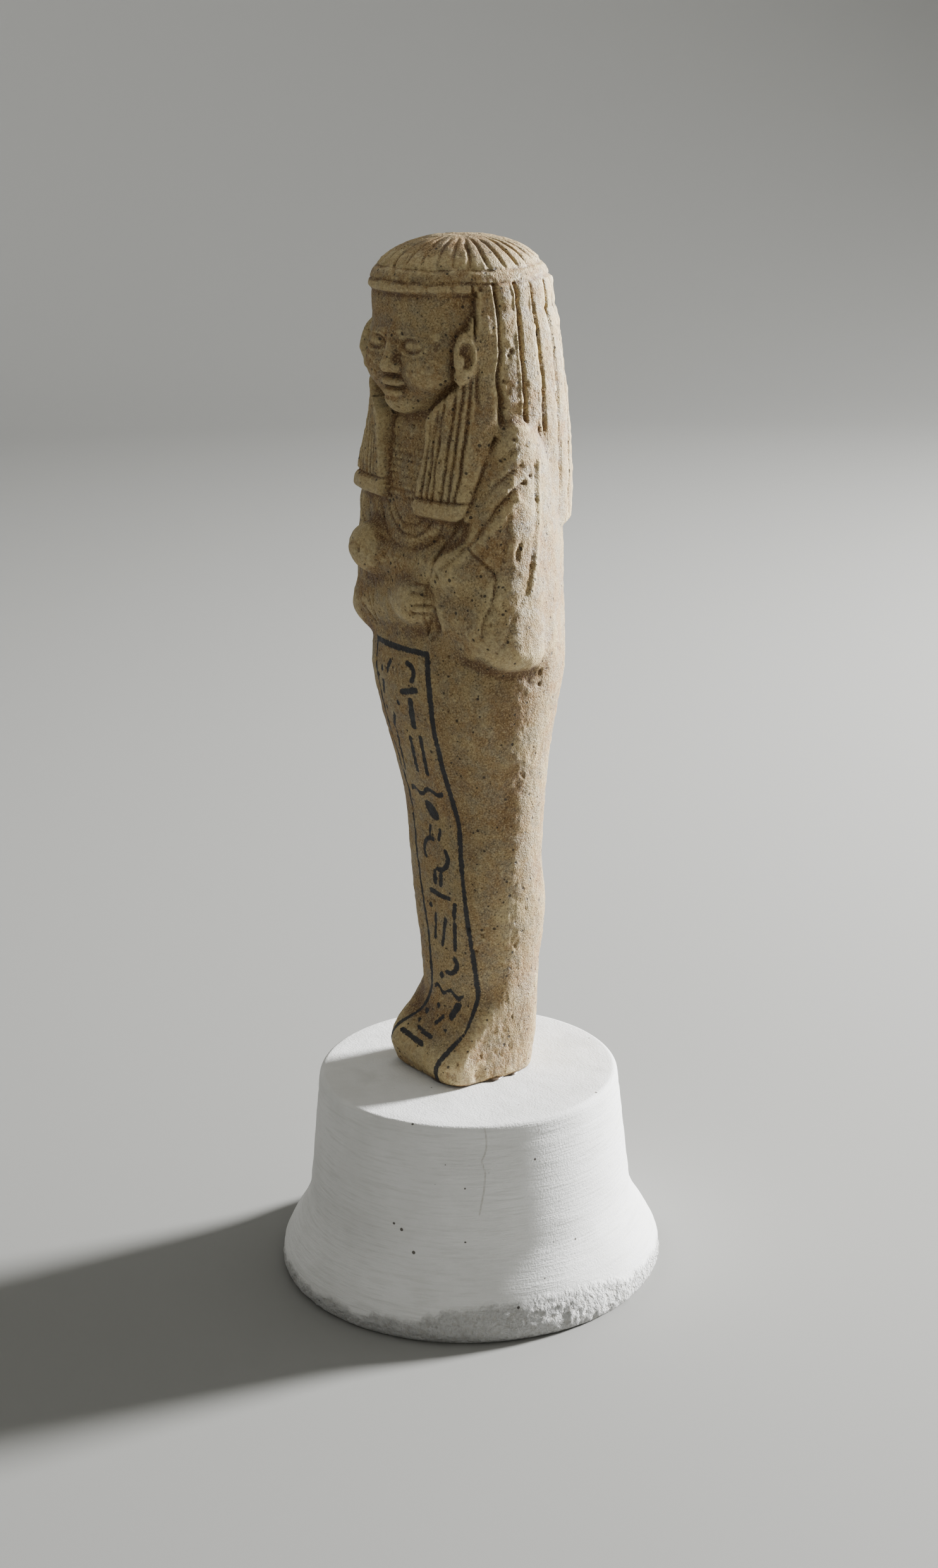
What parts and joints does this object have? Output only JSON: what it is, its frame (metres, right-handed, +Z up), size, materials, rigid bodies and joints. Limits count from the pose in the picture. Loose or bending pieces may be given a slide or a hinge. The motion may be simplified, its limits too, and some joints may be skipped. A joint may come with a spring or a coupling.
{
  "type": "ushabti figurine",
  "caption": "Small standing funerary figure with a striped wig, crossed arms and pleated sleeves, on a flared round stand.",
  "frame": {"origin": "centre of the stand's underside, on the surface that it stands on", "axes": "+Z up along the stand's axis, the figure looks along -Y, its left hand is on the +X side"},
  "size_m": [0.0656, 0.0656, 0.1741],
  "materials": {
    "faience": "weathered, nearly matt faience with remains of a pale green-grey glaze",
    "plaster": "matt white cast plaster, trowelled round, rough at the foot"
  },
  "bodies": {
    "root": {"figure": "faience", "stand": "plaster"}
  },
  "joints": []
}
